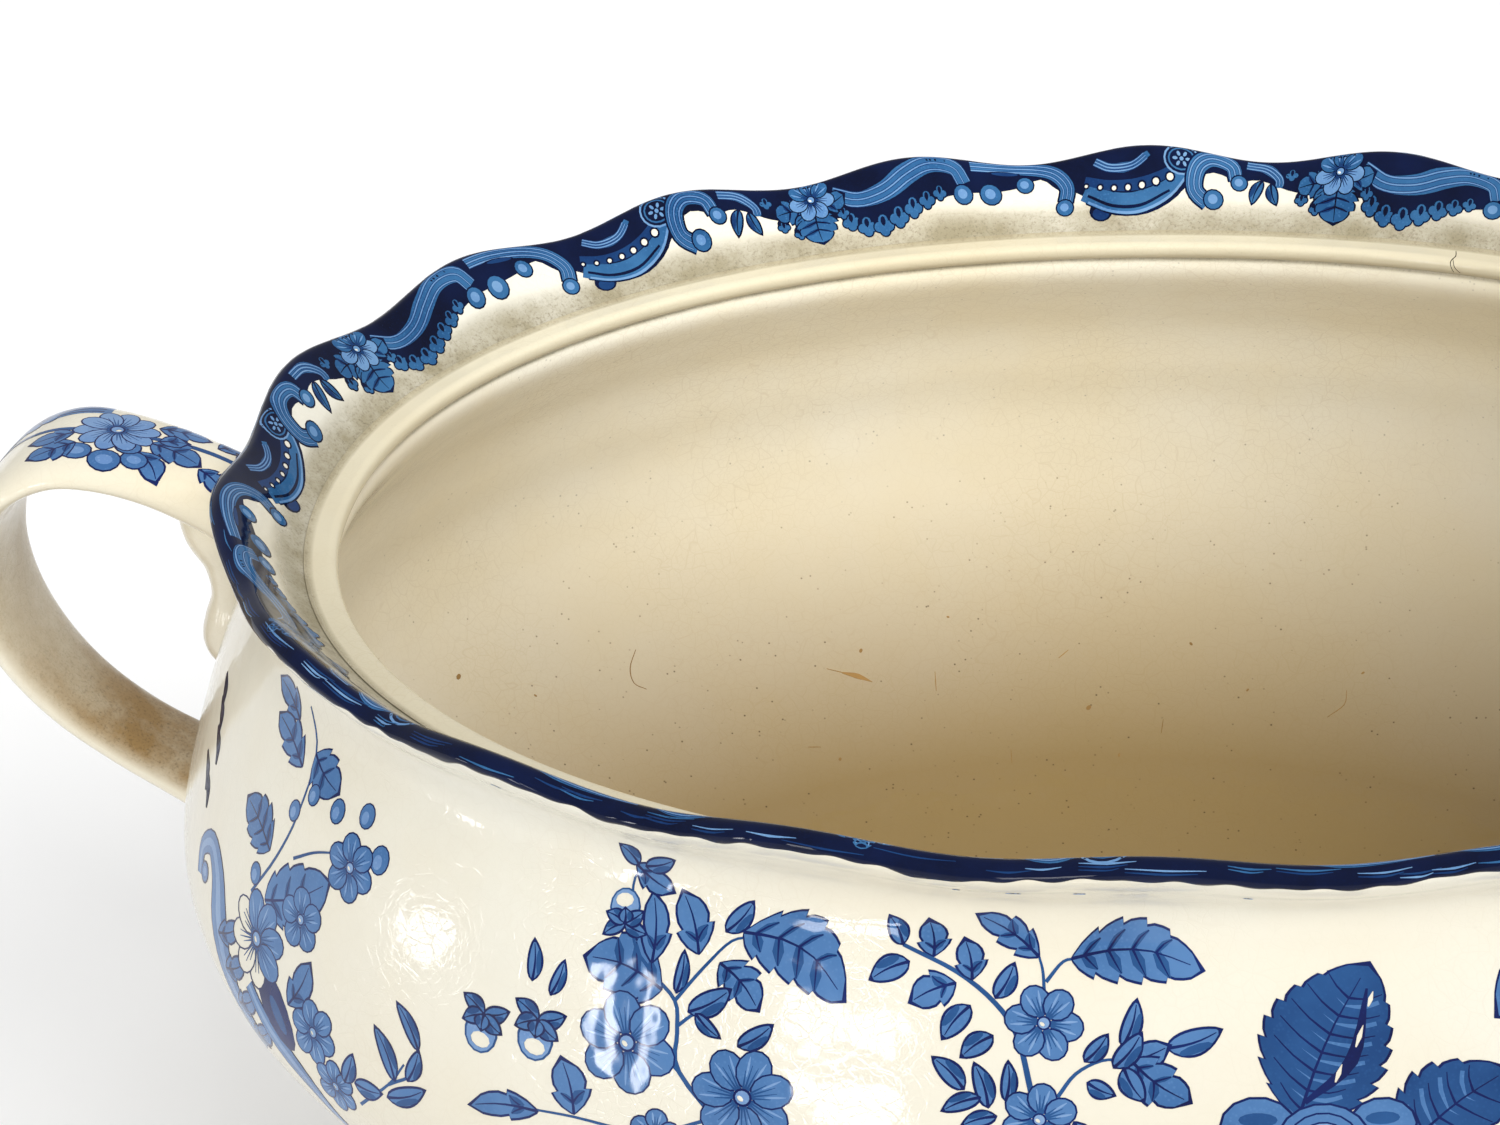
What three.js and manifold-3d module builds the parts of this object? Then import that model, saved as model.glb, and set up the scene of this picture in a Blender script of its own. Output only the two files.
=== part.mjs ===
// The base of an oval soup tureen: a bowl with a wavy flared rim, the ledge its lid sits on,
// a spreading foot, and a loop handle with a scroll lug at each end of the long axis.
// Millimetres. +Z is up, X is the long axis, and the foot stands on z = 0.
import * as THREE from 'three';
import Module from 'manifold-3d';

// Driving dimensions.
const RIM_HALF_LENGTH = 140;
const RIM_HALF_WIDTH = 107;
const OVAL_POWER = 2.1;
const RIM_Z = 149;
const WAVES = 18;
const WAVE_HEIGHT = 1.3;
const WAVE_OUT = 0.7;
const SEGMENTS = 72;
const GAP = 0.3;

const LEDGE_DROP = 11;
const LEDGE_THICK = 2.6;
const LEDGE_OUTER = 11.2;
const LEDGE_INNER = 16.6;

const BOWL_BASE_DROP = 118;
const FOOT_TOP_INSET = 61;
const FOOT_RING_INSET = 45;

const STRAP_HALF_WIDTH = 7.6;
const STRAP_HALF_THICK = 3.2;

// Profiles are lists of [drop below the rim plane, inset from the rim's outer edge, wave share].
const OUTSIDE = [
  [1.4, -0.1, 1], [3.6, 0.7, 0.9], [6, 2.7, 0.6], [9, 4.5, 0.35], [13.5, 4, 0.1], [19, 1, 0],
  [26, -2.8, 0], [35, -6.8, 0], [45, -10.6, 0], [54, -13.2, 0], [62, -12.8, 0], [70, -9.4, 0],
  [79, -2, 0], [88, 7.6, 0], [97, 19, 0], [106, 32.4, 0], [113, 45.4, 0], [BOWL_BASE_DROP, 58, 0],
];
const INSIDE = [
  [0.1, 1.3, 1], [0.6, 2.9, 0.9], [4.2, 6, 0.6], [7.9, 8.6, 0.2], [10, 10.6, 0],
  [LEDGE_DROP + LEDGE_THICK + GAP, LEDGE_OUTER - GAP, 0],
  [LEDGE_DROP + LEDGE_THICK + GAP, 15.4, 0], [18, 14.4, 0], [26, 8.6, 0], [35, 1.6, 0], [45, -3.4, 0],
  [54, -6.6, 0], [62, -6.4, 0], [70, -3.2, 0], [79, 4.6, 0], [87, 14, 0], [95, 25.5, 0],
  [102, 38, 0], [107, 52, 0], [109.5, 66, 0],
];
const LEDGE = [
  [LEDGE_DROP, LEDGE_OUTER + 0.9, 0], [LEDGE_DROP + 0.8, LEDGE_OUTER, 0],
  [LEDGE_DROP + LEDGE_THICK, LEDGE_OUTER, 0], [LEDGE_DROP + LEDGE_THICK, LEDGE_INNER - 1.1, 0],
  [LEDGE_DROP + 2, LEDGE_INNER - 0.2, 0], [LEDGE_DROP + 1.2, LEDGE_INNER, 0],
  [LEDGE_DROP + 0.4, LEDGE_INNER - 0.3, 0], [LEDGE_DROP, LEDGE_INNER - 1, 0],
];
// The foot's profile runs outside from the top down, then inside from the base up.
const FOOT = [
  [BOWL_BASE_DROP + GAP, FOOT_TOP_INSET, 0], [122, FOOT_TOP_INSET + 2.4, 0], [127, FOOT_TOP_INSET + 3, 0],
  [133, FOOT_TOP_INSET, 0], [139, FOOT_TOP_INSET - 7, 0], [143.5, FOOT_RING_INSET + 1.6, 0],
  [146, FOOT_RING_INSET, 0], [148, FOOT_RING_INSET + 0.4, 0], [RIM_Z, FOOT_RING_INSET + 1.6, 0],
  [RIM_Z, FOOT_RING_INSET + 6.4, 0], [144.5, FOOT_RING_INSET + 8.2, 0],
  [138, FOOT_TOP_INSET, 0], [131, FOOT_TOP_INSET + 7, 0], [124.5, FOOT_TOP_INSET + 9, 0],
];

// Centre lines in the XZ plane as [x, drop below the rim plane, width factor, thickness factor].
const STRAP_PATH = [
  [133, 18, 1.1, 2.1], [139, 15, 1.08, 1.95], [146, 10.4, 1.14, 1.7], [154, 6.2, 1.3, 1.3],
  [162, 3.6, 1.46, 1.05], [169, 3.2, 1.6, 0.95], [176, 6.2, 1.72, 0.9], [181.5, 12.6, 1.76, 0.9],
  [184.4, 22, 1.66, 0.9], [183.8, 31, 1.5, 0.9], [180.6, 40, 1.36, 0.95], [175, 48.6, 1.24, 1],
  [167.4, 56, 1.18, 1], [159, 62, 1.18, 1.1], [150.6, 66.8, 1.25, 1.3], [143, 70, 1.4, 1.6],
];
const SCROLL_PATH = [
  [145, 10.5, 1.5, 1.5], [145.6, 17, 1.35, 1.35], [145, 23, 0.98, 0.98], [145.2, 29, 0.84, 0.84],
  [145.8, 33.6, 1.08, 1.08], [146.2, 37.6, 1.2, 1.2], [145.4, 41, 0.85, 0.85],
];
const SCROLL_RADIUS = 4.6;

const CREAM = 0xefe9d6;
const INNER_CREAM = 0xe0d4b4;

const wasm = await Module();
wasm.setup();

// A rim outline at an inset: points evenly spaced along a superellipse, with a wave share.
function outline(inset, drop, share) {
  const a = RIM_HALF_LENGTH - inset;
  const b = RIM_HALF_WIDTH - inset;
  const points = [];
  for (const angle of EVEN_ANGLES) {
    const c = Math.cos(angle.t);
    const s = Math.sin(angle.t);
    const wave = share * Math.cos(WAVES * (angle.u - 0.25) * 2 * Math.PI);
    const x = Math.sign(c) * Math.abs(c) ** (2 / OVAL_POWER);
    const y = Math.sign(s) * Math.abs(s) ** (2 / OVAL_POWER);
    points.push([(a + wave * WAVE_OUT) * x, (b + wave * WAVE_OUT) * y, RIM_Z - drop + wave * WAVE_HEIGHT]);
  }
  return points;
}

// Parameters of points evenly spaced along the rim, found by walking it in fine steps.
function evenAngles(count) {
  const steps = 7200;
  const point = (t) => {
    const c = Math.cos(t);
    const s = Math.sin(t);
    return [
      RIM_HALF_LENGTH * Math.sign(c) * Math.abs(c) ** (2 / OVAL_POWER),
      RIM_HALF_WIDTH * Math.sign(s) * Math.abs(s) ** (2 / OVAL_POWER),
    ];
  };
  const lengths = [0];
  let last = point(0);
  for (let i = 1; i <= steps; i += 1) {
    const next = point((2 * Math.PI * i) / steps);
    lengths.push(lengths[i - 1] + Math.hypot(next[0] - last[0], next[1] - last[1]));
    last = next;
  }
  const found = [];
  let i = 0;
  for (let k = 0; k < count; k += 1) {
    const target = (lengths[steps] * k) / count;
    while (lengths[i + 1] <= target) i += 1;
    const part = (target - lengths[i]) / (lengths[i + 1] - lengths[i]);
    found.push({ t: (2 * Math.PI * (i + part)) / steps, u: k / count });
  }
  return found;
}
const EVEN_ANGLES = evenAngles(SEGMENTS);

// A solid lofted through closed rings of equal count. Ends are fans, or the loft is closed on itself.
function loft(rings, closed) {
  const count = rings[0].length;
  const positions = rings.flat(2);
  const index = [];
  const pairs = closed ? rings.length : rings.length - 1;
  for (let r = 0; r < pairs; r += 1) {
    const low = r * count;
    const high = ((r + 1) % rings.length) * count;
    for (let i = 0; i < count; i += 1) {
      const j = (i + 1) % count;
      index.push(low + i, low + j, high + i, low + j, high + j, high + i);
    }
  }
  if (!closed) {
    addFan(positions, index, rings[0], 0, false);
    addFan(positions, index, rings.at(-1), (rings.length - 1) * count, true);
  }
  const geometry = new THREE.BufferGeometry();
  geometry.setAttribute('position', new THREE.Float32BufferAttribute(positions, 3));
  geometry.setIndex(index);
  return geometry;
}

// Closes a ring with a fan round its mean point.
function addFan(positions, index, ring, start, facingAlong) {
  const centre = [0, 1, 2].map((k) => ring.reduce((sum, p) => sum + p[k], 0) / ring.length);
  const apex = positions.length / 3;
  positions.push(...centre);
  for (let i = 0; i < ring.length; i += 1) {
    const j = (i + 1) % ring.length;
    if (facingAlong) index.push(start + i, start + j, apex);
    else index.push(start + j, start + i, apex);
  }
}

const profileRings = (profile) => profile.map(([drop, inset, share]) => outline(inset, drop, share));

// The bowl: from the middle of its underside, out and up, over the rim, and down to its floor.
function bowlGeometry() {
  return loft([...profileRings(OUTSIDE).reverse(), ...profileRings(INSIDE)], false);
}

function ledgeGeometry() {
  return loft(profileRings(LEDGE).reverse(), true);
}

function footGeometry() {
  return loft(profileRings(FOOT).reverse(), false);
}

// The bowl without its hollow, grown by the gap: what a handle is cut back to.
function bowlCutter() {
  const grown = OUTSIDE.map(([drop, inset, share]) => [drop, inset - GAP, share]);
  return toSolid(loft(profileRings(grown).reverse(), false));
}

// Rings of a given cross-section along a path in the XZ plane, square to the path.
function sweep(path, section) {
  const curve = new THREE.CatmullRomCurve3(path.map(([x, drop]) => new THREE.Vector3(x, 0, RIM_Z - drop)));
  const count = Math.round((path.length - 1) * 1.5);
  const rings = [];
  for (let i = 0; i <= count; i += 1) {
    const t = i / count;
    const at = curve.getPoint(t);
    const along = curve.getTangent(t);
    const out = new THREE.Vector3(-along.z, 0, along.x);
    const place = t * (path.length - 1);
    const k = Math.min(Math.floor(place), path.length - 2);
    const [wide, thick] = [2, 3].map((n) => THREE.MathUtils.lerp(path[k][n], path[k + 1][n], place - k));
    rings.push(section.map(([y, n]) => [at.x + out.x * n * thick, y * wide, at.z + out.z * n * thick]));
  }
  return loft(rings, false);
}

// The strap's section: wide across Y, thin along the normal, fuller on its outer face.
function strapSection() {
  const points = [];
  for (let i = 0; i < 12; i += 1) {
    const angle = (2 * Math.PI * i) / 12;
    const n = Math.sin(angle);
    const y = Math.sign(Math.cos(angle)) * Math.abs(Math.cos(angle)) ** 0.7;
    points.push([y * STRAP_HALF_WIDTH, n * STRAP_HALF_THICK * (n > 0 ? 1.05 : 0.9)]);
  }
  return points;
}

function roundSection(radius, sides) {
  const points = [];
  for (let i = 0; i < sides; i += 1) {
    const angle = (2 * Math.PI * i) / sides;
    points.push([Math.cos(angle) * radius, Math.sin(angle) * radius]);
  }
  return points;
}

// three.js geometry to a manifold-3d solid and back.
function toSolid(geometry) {
  const solid = new wasm.Manifold(new wasm.Mesh({
    numProp: 3,
    vertProperties: new Float32Array(geometry.attributes.position.array),
    triVerts: new Uint32Array(geometry.index.array),
  }));
  return solid;
}

function toGeometry(solid) {
  const mesh = solid.getMesh();
  const geometry = new THREE.BufferGeometry();
  geometry.setAttribute('position', new THREE.Float32BufferAttribute(mesh.vertProperties, 3));
  geometry.setIndex([...mesh.triVerts]);
  return geometry;
}

// The strap, cut back to leave the gap before the bowl. The piece inside the bowl's wall is dropped.
function strapSolid(cutter) {
  return toSolid(sweep(STRAP_PATH, strapSection())).subtract(cutter);
}

// The lug: a short rib down the neck that ends in a round curl, clear of the bowl and of the strap.
function scrollSolid(cutter) {
  const grownStrap = toSolid(sweep(
    STRAP_PATH,
    strapSection().map(([y, n]) => [y + Math.sign(y) * GAP, n + Math.sign(n) * GAP]),
  ));
  return toSolid(sweep(SCROLL_PATH, roundSection(SCROLL_RADIUS, 12))).subtract(cutter).subtract(grownStrap);
}

function material(color, roughness) {
  return new THREE.MeshStandardMaterial({ color, roughness, metalness: 0 });
}

function addMesh(group, name, geometry, color, roughness) {
  const mesh = new THREE.Mesh(geometry, material(color, roughness));
  mesh.name = name;
  group.add(mesh);
  return mesh;
}

function buildTureen() {
  const group = new THREE.Group();
  group.name = 'soup_tureen';
  addMesh(group, 'bowl', bowlGeometry(), CREAM, 0.18);
  addMesh(group, 'lid_ledge', ledgeGeometry(), INNER_CREAM, 0.25);
  addMesh(group, 'pedestal_foot', footGeometry(), CREAM, 0.2);
  const cutter = bowlCutter();
  const strap = toGeometry(strapSolid(cutter));
  const scroll = toGeometry(scrollSolid(cutter));
  for (const [side, turn] of [['right', 0], ['left', Math.PI]]) {
    addMesh(group, `${side}_handle`, strap, CREAM, 0.2).rotation.z = turn;
    addMesh(group, `${side}_handle_scroll`, scroll, CREAM, 0.2).rotation.z = turn;
  }
  return group;
}

export default buildTureen();
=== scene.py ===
import math
import random

import bpy
import numpy as np
from mathutils import Matrix, Vector
from mathutils.geometry import delaunay_2d_cdt


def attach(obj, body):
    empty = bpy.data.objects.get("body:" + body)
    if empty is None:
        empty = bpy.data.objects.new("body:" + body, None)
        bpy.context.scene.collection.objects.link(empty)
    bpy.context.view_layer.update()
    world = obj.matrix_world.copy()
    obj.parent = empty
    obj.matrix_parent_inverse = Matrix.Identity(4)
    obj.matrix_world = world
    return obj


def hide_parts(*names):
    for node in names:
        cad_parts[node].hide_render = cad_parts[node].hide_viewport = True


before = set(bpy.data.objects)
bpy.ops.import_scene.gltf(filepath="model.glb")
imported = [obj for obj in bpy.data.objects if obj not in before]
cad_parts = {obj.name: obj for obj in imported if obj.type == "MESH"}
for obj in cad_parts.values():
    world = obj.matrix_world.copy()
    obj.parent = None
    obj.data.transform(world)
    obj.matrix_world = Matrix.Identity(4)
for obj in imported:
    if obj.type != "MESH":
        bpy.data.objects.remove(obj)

# An oval soup tureen in cream glazed pottery with a blue transfer print. Lengths are in millimetres
# until a mesh is made, and MM turns them into metres. The bowl's shape repeats the CAD model's.
MM = 0.001
HALF_LENGTH = 140.0
HALF_WIDTH = 107.0
OVAL_POWER = 2.1
RIM_Z = 149.0
WAVES = 18
WAVE_HEIGHT = 1.3
WAVE_OUT = 0.7
AROUND = 720
PER_KNOT = 12
BOWL_PER_KNOT = 6
NUDGE = 0.05

# Profiles as (drop below the rim plane, inset from the rim's outer edge, share of the rim's wave).
OUTSIDE = [
    (1.4, -0.1, 1), (3.6, 0.7, 0.9), (6, 2.7, 0.6), (9, 4.5, 0.35), (13.5, 4, 0.1), (19, 1, 0),
    (26, -2.8, 0), (35, -6.8, 0), (45, -10.6, 0), (54, -13.2, 0), (62, -12.8, 0), (70, -9.4, 0),
    (79, -2, 0), (88, 7.6, 0), (97, 19, 0), (106, 32.4, 0), (113, 45.4, 0), (118, 58, 0),
]
INSIDE = [
    (0.1, 1.3, 1), (0.6, 2.9, 0.9), (4.2, 6, 0.6), (7.9, 8.6, 0.2), (10, 10.8, 0), (11.6, 12.6, 0),
    (14.2, 14.8, 0), (18.4, 14.3, 0), (26, 8.4, 0), (35, 1.6, 0), (45, -3.4, 0), (54, -6.6, 0),
    (62, -6.4, 0), (70, -3.2, 0), (79, 4.6, 0), (87, 14, 0), (95, 25.5, 0), (102, 38, 0),
    (107, 52, 0), (109.5, 66, 0),
]
LEDGE = [
    (10.5, 11.6, 0), (10.9, 12.2, 0), (11, 13, 0), (11.1, 14.4, 0), (11.2, 15.4, 0), (11.6, 16.2, 0),
    (12.3, 16.5, 0), (13.2, 16.4, 0), (13.9, 15.9, 0), (14.2, 15.2, 0), (13.6, 14.4, 0), (12.2, 13.2, 0),
    (11.2, 12.2, 0),
]
FOOT = [
    (116.8, 60, 0), (119.6, 62.2, 0), (123, 63.6, 0), (128, 63.6, 0), (133.5, 60.6, 0), (139, 54, 0),
    (143, 47.4, 0), (145.4, 45.2, 0), (147.2, 45.1, 0), (148.5, 45.8, 0), (149, 47.2, 0), (149, 50.8, 0),
    (148.2, 52.2, 0), (144.5, 54, 0), (138, 61, 0), (131, 68, 0), (124.5, 70, 0),
]

# The handle's strap and its lug as (x, drop, width factor, thickness factor), in the plane of the long axis.
STRAP = [
    (133, 18, 1.1, 2.1), (139, 15, 1.08, 1.95), (146, 10.4, 1.14, 1.7), (154, 6.2, 1.3, 1.3),
    (162, 3.6, 1.46, 1.05), (169, 3.2, 1.6, 0.95), (176, 6.2, 1.72, 0.9), (181.5, 12.6, 1.76, 0.9),
    (184.4, 22, 1.66, 0.9), (183.8, 31, 1.5, 0.9), (180.6, 40, 1.36, 0.95), (175, 48.6, 1.24, 1),
    (167.4, 56, 1.18, 1), (159, 62, 1.2, 1.12), (151.4, 66.2, 1.34, 1.4), (146.4, 68.4, 1.5, 1.7),
]
STRAP_HALF_WIDTH = 7.6
STRAP_HALF_THICK = 3.2
LUG = [
    (145, 10.5, 1.5, 1.5), (145.6, 17, 1.35, 1.35), (145, 23, 0.98, 0.98), (145.2, 29, 0.84, 0.84),
    (145.8, 33.6, 1.08, 1.08), (146.2, 37.4, 1.2, 1.2), (145.8, 40.6, 0.95, 0.95), (145, 42.4, 0.5, 0.5),
]
LUG_RADIUS = 4.6

# Inks of the print. NONE leaves the glaze bare where it lies over another ink.
NAVY, DEEP, MID, PALE, BROWN, NONE = range(6)
PRINT_LIFT = 0.05
PRINT_SINK = 0.05
BORDER_UNITS = 8


def smooth(knots, per, closed=False):
    """Points of a Catmull-Rom curve through the knots, per of them to each stretch."""
    knots = np.array(knots, float)
    if closed:
        ends = np.vstack([knots[-1], knots, knots[0], knots[1]])
    else:
        ends = np.vstack([2 * knots[0] - knots[1], knots, 2 * knots[-1] - knots[-2]])
    t = np.linspace(0, 1, per, endpoint=False)[:, None]
    parts = []
    for i in range(len(ends) - 3):
        a, b, c, d = ends[i:i + 4]
        parts.append(0.5 * (2 * b + (c - a) * t + (2 * a - 5 * b + 4 * c - d) * t**2
                            + (3 * b - a - 3 * c + d) * t**3))
    if not closed:
        parts.append(knots[-1:])
    return np.vstack(parts)


def lengths(points):
    """Distance walked along the points at each of them."""
    steps = np.linalg.norm(np.diff(points, axis=0), axis=1)
    return np.concatenate([[0], np.cumsum(steps)])


def unit_oval(angle):
    c, s = np.cos(angle), np.sin(angle)
    return np.sign(c) * abs(c) ** (2 / OVAL_POWER), np.sign(s) * abs(s) ** (2 / OVAL_POWER)


ANGLES = np.linspace(0, 2 * math.pi, 7201)
RIM_WALK = lengths(np.stack([HALF_LENGTH * unit_oval(ANGLES)[0], HALF_WIDTH * unit_oval(ANGLES)[1]], -1))
LAP = RIM_WALK[-1]


def oval_point(walk, drop, inset, share):
    """Points on the oval family: walk runs round the rim in millimetres from the right end."""
    u = np.mod(walk, LAP)
    x, y = unit_oval(np.interp(u, RIM_WALK, ANGLES))
    wave = share * np.cos(2 * math.pi * WAVES * (u / LAP - 0.25))
    reach = wave * WAVE_OUT - inset
    return np.stack([(HALF_LENGTH + reach) * x, (HALF_WIDTH + reach) * y,
                     RIM_Z - drop + wave * WAVE_HEIGHT], -1)


class Profile:
    """A profile of the oval family, read by the distance along it from one of its knots."""

    def __init__(self, knots, start):
        self.rows = smooth(knots, PER_KNOT)
        self.walk = lengths(self.rows[:, :2])
        self.walk -= self.walk[PER_KNOT * start]

    def point(self, walk, down):
        drop, inset, share = (np.interp(down, self.walk, self.rows[:, k]) for k in range(3))
        return oval_point(walk, drop, inset, share)


BOWL = Profile(INSIDE[::-1] + OUTSIDE, len(INSIDE))
FOOT_FACE = Profile(FOOT, 0)
LEDGE_FACE = Profile(LEDGE, 2)


# ---- materials

class Nodes:
    """A material's node tree with short calls for the nodes used here."""

    def __init__(self, name):
        self.material = bpy.data.materials.new(name)
        self.material.use_nodes = True
        self.tree = self.material.node_tree
        self.shader = self.tree.nodes["Principled BSDF"]
        self.place = self.tree.nodes.new("ShaderNodeTexCoord").outputs["Object"]

    def link(self, source, target):
        self.tree.links.new(source, target)

    def texture(self, kind, scale, vector=None, **values):
        node = self.tree.nodes.new(kind)
        node.inputs["Scale"].default_value = scale
        for name, value in values.items():
            if name in node.inputs:
                node.inputs[name].default_value = value
            else:
                setattr(node, name, value)
        self.link(vector or self.place, node.inputs["Vector"])
        return node

    def noise(self, scale, detail=3.0, rough=0.55, vector=None):
        node = self.texture("ShaderNodeTexNoise", scale, vector, Detail=detail, Roughness=rough)
        return node.outputs["Factor" if "Factor" in node.outputs else "Fac"]

    def cells(self, scale, feature, vector=None, output="Distance"):
        return self.texture("ShaderNodeTexVoronoi", scale, vector, feature=feature).outputs[output]

    def band(self, value, low, high, to_low=0.0, to_high=1.0):
        """Maps low..high of value to to_low..to_high, held at its ends."""
        node = self.tree.nodes.new("ShaderNodeMapRange")
        limits = {"From Min": low, "From Max": high, "To Min": to_low, "To Max": to_high}
        for socket, number in limits.items():
            node.inputs[socket].default_value = number
        self.link(value, node.inputs["Value"])
        return node.outputs["Result"]

    def math(self, operation, a, b):
        node = self.tree.nodes.new("ShaderNodeMath")
        node.operation = operation
        for socket, value in zip(node.inputs, (a, b)):
            if isinstance(value, (int, float)):
                socket.default_value = value
            else:
                self.link(value, socket)
        return node.outputs[0]

    def mix(self, factor, a, b):
        node = self.tree.nodes.new("ShaderNodeMix")
        node.data_type = "RGBA"
        for socket, value in zip((node.inputs[0], node.inputs[6], node.inputs[7]), (factor, a, b)):
            if isinstance(value, tuple):
                socket.default_value = (*value, 1)
            elif isinstance(value, (int, float)):
                socket.default_value = value
            else:
                self.link(value, socket)
        return node.outputs[2]

    def attribute(self, name):
        node = self.tree.nodes.new("ShaderNodeAttribute")
        node.attribute_name = name
        return node.outputs["Fac"]

    def bump(self, height, distance, strength=1.0):
        node = self.tree.nodes.new("ShaderNodeBump")
        node.inputs["Distance"].default_value = distance
        node.inputs["Strength"].default_value = strength
        self.link(height, node.inputs["Height"])
        self.link(node.outputs["Normal"], self.shader.inputs["Normal"])

    def height(self):
        split = self.tree.nodes.new("ShaderNodeSeparateXYZ")
        self.link(self.place, split.inputs[0])
        return split.outputs["Z"]

    def warped(self, scale, amount):
        """Coordinates pushed about by noise, so that cell edges wander."""
        push = self.texture("ShaderNodeTexNoise", scale, Detail=2.0)
        scaled = self.tree.nodes.new("ShaderNodeVectorMath")
        scaled.operation = "MULTIPLY_ADD"
        self.link(push.outputs["Color"], scaled.inputs[0])
        scaled.inputs[1].default_value = (amount, amount, amount)
        self.link(self.place, scaled.inputs[2])
        return scaled.outputs[0]


def srgb(red, green, blue):
    """A colour given in 0..255 screen values, as linear light."""
    shares = (value / 255 for value in (red, green, blue))
    return tuple(((v + 0.055) / 1.055) ** 2.4 if v > 0.04 else v / 12.92 for v in shares)


def glaze(name, cream, warm, craze, specks_and_bottom_shade, dirt_and_shade):
    """Cream lead glaze: warm clouds, a net of fine cracks, iron specks, a browner tint towards the bottom
    that is partly dirt and partly painted shade, and dirt mixed with painted shade where a mesh marks it.
    """
    n = Nodes(name)
    body = n.mix(n.band(n.noise(14, 4), 0.38, 0.66), cream, warm)
    body = n.mix(n.band(n.noise(55, 3), 0.55, 0.75, 0, 0.35), body, warm)
    net = n.cells(330, "DISTANCE_TO_EDGE", n.warped(90, 0.006))
    fine = n.cells(800, "DISTANCE_TO_EDGE", n.warped(200, 0.003))
    where = n.band(n.noise(20, 2), 0.36, 0.6, 0.25, 1)
    cracks = n.math("MAXIMUM", n.band(net, 0.0, 0.03, 0.8, 0), n.band(fine, 0.0, 0.06, 0.5, 0))
    cracks = n.math("MULTIPLY", cracks, where)
    body = n.mix(n.math("MULTIPLY", cracks, craze), body, srgb(160, 126, 76))
    # Browner and darker towards the bottom, below 105 mm, most in the bowl's inner glaze: partly dirt
    # settled there, partly painted shade.
    low = n.band(n.height(), 0.045, 0.105, 1, 0)
    body = n.mix(n.math("MULTIPLY", low, specks_and_bottom_shade * 0.95), body, srgb(126, 102, 54))
    dots = n.band(n.cells(640, "F1"), 0.06, 0.16, 1, 0)
    rare = n.band(n.noise(230, 2), 0.52, 0.6)
    dots = n.math("MULTIPLY", n.math("MULTIPLY", dots, rare), n.band(low, 0, 1, 0.25 * specks_and_bottom_shade, specks_and_bottom_shade))
    body = n.mix(dots, body, srgb(70, 52, 30))
    # This mesh attribute and the colour it mixes in carry real dirt, and also painted shade in the channel
    # and under the ledge.
    grime_and_shade = n.attribute("grime_and_shade")
    patchy = n.math("MULTIPLY", grime_and_shade, n.band(n.noise(90, 6, 0.7), 0.28, 0.6, 0.5, 1))
    body = n.mix(n.math("MULTIPLY", patchy, 0.9), body, dirt_and_shade)
    grit = n.math("MULTIPLY", n.band(n.noise(1900, 3, 0.7), 0.5, 0.72), n.band(grime_and_shade, 0.3, 1, 0, 0.6))
    body = n.mix(grit, body, srgb(88, 72, 44))
    n.link(body, n.shader.inputs["Base Color"])
    gloss = n.band(n.noise(40, 3), 0.3, 0.7, 0.035, 0.065)
    n.link(n.math("ADD", gloss, n.math("MULTIPLY", patchy, 0.4)), n.shader.inputs["Roughness"])
    n.shader.inputs["IOR"].default_value = 1.5
    n.bump(n.math("SUBTRACT", n.noise(95, 2), n.math("MULTIPLY", cracks, 0.1)), 0.0002)
    return n.material


def ink(name, colour, spot, spots, shine=0.4):
    """Cobalt print under glaze: its depth drifts, and fine stipple shows through it."""
    n = Nodes(name)
    shade = n.mix(n.band(n.noise(80, 4), 0.32, 0.68), colour, spot)
    stipple = n.math("MULTIPLY", n.band(n.cells(1700, "F1"), 0.15, 0.4, 1, 0), spots)
    shade = n.mix(stipple, shade, spot)
    n.link(shade, n.shader.inputs["Base Color"])
    n.link(n.band(n.noise(40, 3), 0.3, 0.7, 0.035, 0.065), n.shader.inputs["Roughness"])
    n.shader.inputs["Specular IOR Level"].default_value = shine
    n.bump(n.noise(95, 2), 0.0002)
    return n.material


# The outer and inner glazes are one cream. The outer is painted darker (painted shade) and the inner painted
# lighter (painted light), to make up for the outside getting more light than the inside.
CREAM_PAINTED_DARKER = glaze("cream_glaze", srgb(220, 217, 204), srgb(216, 209, 190), 0.08, 0.1, srgb(132, 122, 92))
INNER_PAINTED_LIGHTER = glaze("inner_glaze", srgb(243, 239, 223), srgb(240, 231, 205), 0.2, 1.0, srgb(140, 130, 98))
LEDGE_GLAZE = glaze("ledge_glaze", srgb(208, 200, 175), srgb(202, 191, 162), 0.12, 0.3, srgb(120, 108, 76))
HANDLE = glaze("handle_glaze", srgb(222, 217, 200), srgb(218, 207, 180), 0.08, 0.1, srgb(146, 110, 48))
INKS = {
    NAVY: ink("ink_navy", srgb(0, 10, 62), srgb(6, 30, 92), 0.3),
    DEEP: ink("ink_deep", srgb(18, 58, 108), srgb(34, 78, 130), 0.4),
    MID: ink("ink_mid", srgb(54, 96, 146), srgb(78, 118, 166), 0.6),
    PALE: ink("ink_pale", srgb(92, 128, 176), srgb(120, 150, 188), 0.6),
    BROWN: ink("dirt_brown", srgb(112, 84, 44), srgb(150, 116, 66), 0.4),
}
RIM_INKS = {
    NAVY: ink("rim_ink_navy", srgb(1, 6, 30), srgb(4, 18, 54), 0.3, 0.2),
    DEEP: ink("rim_ink_deep", srgb(8, 34, 80), srgb(22, 60, 106), 0.4, 0.2),
    MID: ink("rim_ink_mid", srgb(28, 72, 116), srgb(52, 100, 144), 0.7, 0.2),
    PALE: ink("rim_ink_pale", srgb(78, 118, 164), srgb(108, 144, 182), 0.6, 0.2),
}


# ---- meshes

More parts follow.
